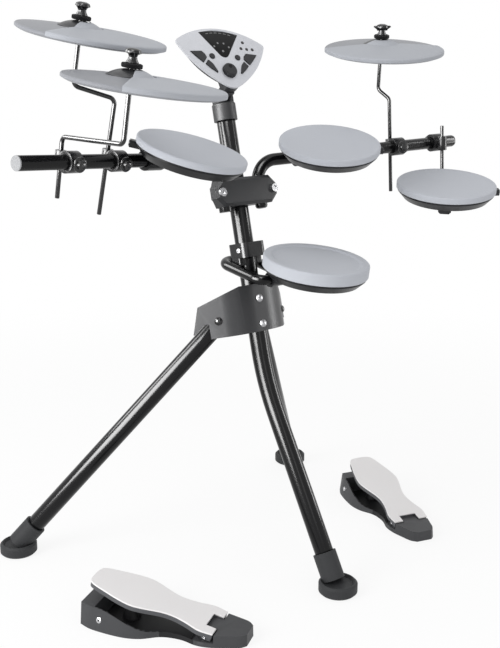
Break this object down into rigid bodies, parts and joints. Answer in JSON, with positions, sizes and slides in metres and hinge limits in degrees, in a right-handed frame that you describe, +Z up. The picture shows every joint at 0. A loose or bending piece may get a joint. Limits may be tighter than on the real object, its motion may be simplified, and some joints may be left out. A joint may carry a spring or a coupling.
{
  "type": "electronic drum kit",
  "caption": "Compact electronic drum kit: leaning post rack on splayed legs with side arms, round rubber tom, snare and cymbal pads, a fan-shaped sound module and loose foot pedals.",
  "frame": {"origin": "on the floor, at the middle of the bounding box's footprint", "axes": "+X to the drummer's right, +Y from the drummer to the rear legs, +Z up"},
  "size_m": [1.0735, 0.6924, 1.1171],
  "materials": {
    "black_tube": "gloss",
    "dark_rod": "semi-gloss",
    "bracket_paint": "satin",
    "bright_steel": "polished",
    "foot_rubber": "matte",
    "clamp_plastic": "matte",
    "pad_plastic": "matte",
    "pad_rubber": "matte",
    "cymbal_plastic": "satin",
    "felt": "matte",
    "pale_plastic": "satin",
    "silver_plastic": "satin",
    "case_plastic": "matte",
    "display_plastic": "gloss",
    "key_rubber": "satin",
    "pedal_plastic": "matte",
    "board_plastic": "satin"
  },
  "bodies": {
    "stand": {"main_post": "black_tube", "front_foot": "foot_rubber", "leg_bracket": "bracket_paint", "bracket_bolts": "bright_steel", "module_mount": "clamp_plastic", "kick_pedal": "pedal_plastic", "hihat_pedal": "pedal_plastic", "pedal_fixings": "bright_steel", "pedal_bumpers": "foot_rubber"},
    "left_leg": {"left_leg": "black_tube", "left_foot": "foot_rubber"},
    "right_leg": {"right_leg": "black_tube", "right_foot": "foot_rubber"},
    "main_clamp": {"clamp_front": "clamp_plastic", "clamp_rear": "clamp_plastic", "clamp_bolts": "bright_steel"},
    "left_arm": {"left_arm": "black_tube", "left_arm_cap": "pale_plastic"},
    "right_arm": {"right_arm": "black_tube"},
    "tom1": {"tom1_bracket": "pad_plastic", "tom1_base": "pad_plastic", "tom1_rubber": "pad_rubber"},
    "tom2": {"tom2_bracket": "pad_plastic", "tom2_base": "pad_plastic", "tom2_rubber": "pad_rubber"},
    "crash_clamp": {"crash_clamp": "clamp_plastic"},
    "hihat_clamp": {"hihat_clamp": "clamp_plastic"},
    "ride_clamp": {"ride_clamp": "clamp_plastic"},
    "tom3_clamp": {"tom3_clamp": "clamp_plastic"},
    "crash_rod": {"crash_rod": "dark_rod", "crash_fittings": "felt"},
    "hihat_rod": {"hihat_rod": "dark_rod", "hihat_fittings": "felt"},
    "ride_rod": {"ride_rod": "dark_rod", "ride_fittings": "felt"},
    "tom3_rod": {"tom3_rod": "dark_rod"},
    "crash": {"crash_cymbal": "cymbal_plastic", "crash_strike": "pad_rubber"},
    "hihat": {"hihat_cymbal": "cymbal_plastic", "hihat_strike": "pad_rubber"},
    "ride": {"ride_cymbal": "cymbal_plastic", "ride_strike": "pad_rubber"},
    "tom3": {"tom3_base": "pad_plastic", "tom3_rubber": "pad_rubber"},
    "snare_arm": {"snare_clamp": "clamp_plastic", "snare_loop": "black_tube"},
    "snare": {"snare_base": "pad_plastic", "snare_rubber": "pad_rubber"},
    "module": {"module_case": "case_plastic", "module_panel": "silver_plastic", "display_window": "display_plastic"},
    "dial": {"module_dial": "key_rubber"},
    "kick_board": {"kick_board": "board_plastic"},
    "hihat_board": {"hihat_board": "board_plastic"},
    "left_upper_key": {"left_upper_key": "key_rubber"},
    "left_lower_key": {"left_lower_key": "key_rubber"},
    "left_round_key": {"left_round_key": "key_rubber"},
    "right_upper_key": {"right_upper_key": "key_rubber"},
    "right_lower_key": {"right_lower_key": "key_rubber"},
    "right_round_key": {"right_round_key": "key_rubber"}
  },
  "joints": [
    {"name": "left_leg_fold", "type": "hinge", "parent": "stand", "child": "left_leg", "pos_m": [-0.04307, 0.04095, 0.51], "axis": [-0.7226, -0.673, 0.1579], "range_deg": [0, 34]},
    {"name": "right_leg_fold", "type": "hinge", "parent": "stand", "child": "right_leg", "pos_m": [0.04693, 0.04095, 0.51], "axis": [0.7226, -0.673, 0.1579], "range_deg": [-34, 0]},
    {"name": "main_clamp_slide", "type": "slide", "parent": "stand", "child": "main_clamp", "axis": [0, 0.2284, 0.9736], "range_m": [-0.03, 0.025]},
    {"name": "left_arm_swivel", "type": "hinge", "parent": "main_clamp", "child": "left_arm", "pos_m": [-0.04607, 0.03253, 0.77043], "axis": [0, 0.2284, 0.9736], "range_deg": [-12, 14]},
    {"name": "right_arm_swivel", "type": "hinge", "parent": "main_clamp", "child": "right_arm", "pos_m": [0.04993, 0.03253, 0.77043], "axis": [0, 0.2284, 0.9736], "range_deg": [-14, 12]},
    {"name": "tom1_tilt", "type": "hinge", "parent": "left_arm", "child": "tom1", "pos_m": [-0.22903, 0.0144, 0.84597], "axis": [-0.9823, -0.1824, 0.0428], "range_deg": [-8, 8]},
    {"name": "tom2_tilt", "type": "hinge", "parent": "right_arm", "child": "tom2", "pos_m": [0.15898, 0.01758, 0.83467], "axis": [0.9659, -0.252, 0.0591], "range_deg": [-8, 8]},
    {"name": "crash_clamp_tilt", "type": "hinge", "parent": "left_arm", "child": "crash_clamp", "pos_m": [-0.3162, -0.00179, 0.84977], "axis": [-0.9823, -0.1824, 0.0428], "range_deg": [-6, 6]},
    {"name": "crash_rod_swivel", "type": "hinge", "parent": "crash_clamp", "child": "crash_rod", "pos_m": [-0.32063, 0.02327, 0.85508], "axis": [0.0785, -0.1934, 0.978], "range_deg": [-15, 15]},
    {"name": "hihat_clamp_tilt", "type": "hinge", "parent": "left_arm", "child": "hihat_clamp", "pos_m": [-0.42131, -0.02131, 0.85435], "axis": [-0.9823, -0.1824, 0.0428], "range_deg": [-6, 6]},
    {"name": "hihat_rod_swivel", "type": "hinge", "parent": "hihat_clamp", "child": "hihat_rod", "pos_m": [-0.42584, 0.004, 0.85823], "axis": [0.0689, -0.1393, 0.9879], "range_deg": [-15, 15]},
    {"name": "ride_clamp_tilt", "type": "hinge", "parent": "right_arm", "child": "ride_clamp", "pos_m": [0.38703, -0.04191, 0.84863], "axis": [0.9659, -0.252, 0.0591], "range_deg": [-6, 6]},
    {"name": "ride_rod_swivel", "type": "hinge", "parent": "ride_clamp", "child": "ride_rod", "pos_m": [0.3936, -0.01675, 0.84863], "axis": [-0.0572, 0.0149, 0.9983], "range_deg": [-15, 15]},
    {"name": "tom3_clamp_tilt", "type": "hinge", "parent": "right_arm", "child": "tom3_clamp", "pos_m": [0.48652, -0.06786, 0.85471], "axis": [0.9659, -0.252, 0.0591], "range_deg": [-6, 6]},
    {"name": "tom3_rod_swivel", "type": "hinge", "parent": "tom3_clamp", "child": "tom3_rod", "pos_m": [0.47996, -0.09302, 0.85471], "axis": [-0.0572, 0.0149, 0.9983], "range_deg": [-8, 20]},
    {"name": "crash_rock", "type": "hinge", "parent": "crash_rod", "child": "crash", "pos_m": [-0.37781, 0.01911, 1.02164], "axis": [0.8614, 0.5056, 0.0484], "range_deg": [-5, 5], "stiffness_Nm_per_rad": 6, "springref_deg": -2.13},
    {"name": "hihat_rock", "type": "hinge", "parent": "hihat_rod", "child": "hihat", "pos_m": [-0.42293, -0.19886, 0.93978], "axis": [0.675, 0.7348, 0.0663], "range_deg": [-5, 5], "stiffness_Nm_per_rad": 6, "springref_deg": -2},
    {"name": "ride_rock", "type": "hinge", "parent": "ride_rod", "child": "ride", "pos_m": [0.37743, 0.00702, 1.01269], "axis": [0.8539, -0.5198, 0.0266], "range_deg": [-5, 5], "stiffness_Nm_per_rad": 6, "springref_deg": -2.14},
    {"name": "tom3_tilt", "type": "hinge", "parent": "tom3_rod", "child": "tom3", "pos_m": [0.34966, -0.20946, 0.742], "axis": [0.7428, 0.6364, 0.2079], "range_deg": [-10, 10]},
    {"name": "snare_swivel", "type": "hinge", "parent": "stand", "child": "snare_arm", "pos_m": [0.00193, 0.02016, 0.652], "axis": [0, 0.2284, 0.9736], "range_deg": [-20, 20]},
    {"name": "snare_tilt", "type": "hinge", "parent": "snare_arm", "child": "snare", "pos_m": [0.00193, -0.0708, 0.60621], "axis": [1, 0, 0], "range_deg": [-6, 8]},
    {"name": "module_tilt", "type": "hinge", "parent": "stand", "child": "module", "pos_m": [0.00193, 0.09194, 0.95805], "axis": [0.9959, -0.0882, 0.0207], "range_deg": [-15, 8]},
    {"name": "dial_turn", "type": "hinge", "parent": "module", "child": "dial", "pos_m": [0.00172, 0.06873, 1.00725], "axis": [-0.0854, -0.8377, 0.5394], "continuous": true},
    {"name": "left_upper_key_press", "type": "slide", "parent": "module", "child": "left_upper_key", "axis": [-0.0854, -0.8377, 0.5394], "range_m": [-0.0012, 0], "stiffness_N_per_m": 400, "springref_m": 0.0004},
    {"name": "left_lower_key_press", "type": "slide", "parent": "module", "child": "left_lower_key", "axis": [-0.0854, -0.8377, 0.5394], "range_m": [-0.0012, 0], "stiffness_N_per_m": 400, "springref_m": 0.0004},
    {"name": "left_round_key_press", "type": "slide", "parent": "module", "child": "left_round_key", "axis": [-0.0854, -0.8377, 0.5394], "range_m": [-0.0012, 0], "stiffness_N_per_m": 400, "springref_m": 0.0004},
    {"name": "right_upper_key_press", "type": "slide", "parent": "module", "child": "right_upper_key", "axis": [-0.0854, -0.8377, 0.5394], "range_m": [-0.0012, 0], "stiffness_N_per_m": 400, "springref_m": 0.0004},
    {"name": "right_lower_key_press", "type": "slide", "parent": "module", "child": "right_lower_key", "axis": [-0.0854, -0.8377, 0.5394], "range_m": [-0.0012, 0], "stiffness_N_per_m": 400, "springref_m": 0.0004},
    {"name": "right_round_key_press", "type": "slide", "parent": "module", "child": "right_round_key", "axis": [-0.0854, -0.8377, 0.5394], "range_m": [-0.0012, 0], "stiffness_N_per_m": 400, "springref_m": 0.0004},
    {"name": "kick_board_press", "type": "hinge", "parent": "stand", "child": "kick_board", "pos_m": [0.3316, -0.16158, 0.016], "axis": [0.9461, -0.3239, 0], "range_deg": [-5, 0], "stiffness_Nm_per_rad": 40, "springref_deg": 1.15},
    {"name": "hihat_board_press", "type": "hinge", "parent": "stand", "child": "hihat_board", "pos_m": [-0.2836, -0.21949, 0.016], "axis": [0.8616, 0.5075, 0], "range_deg": [-5, 0], "stiffness_Nm_per_rad": 40, "springref_deg": 1.15}
  ]
}
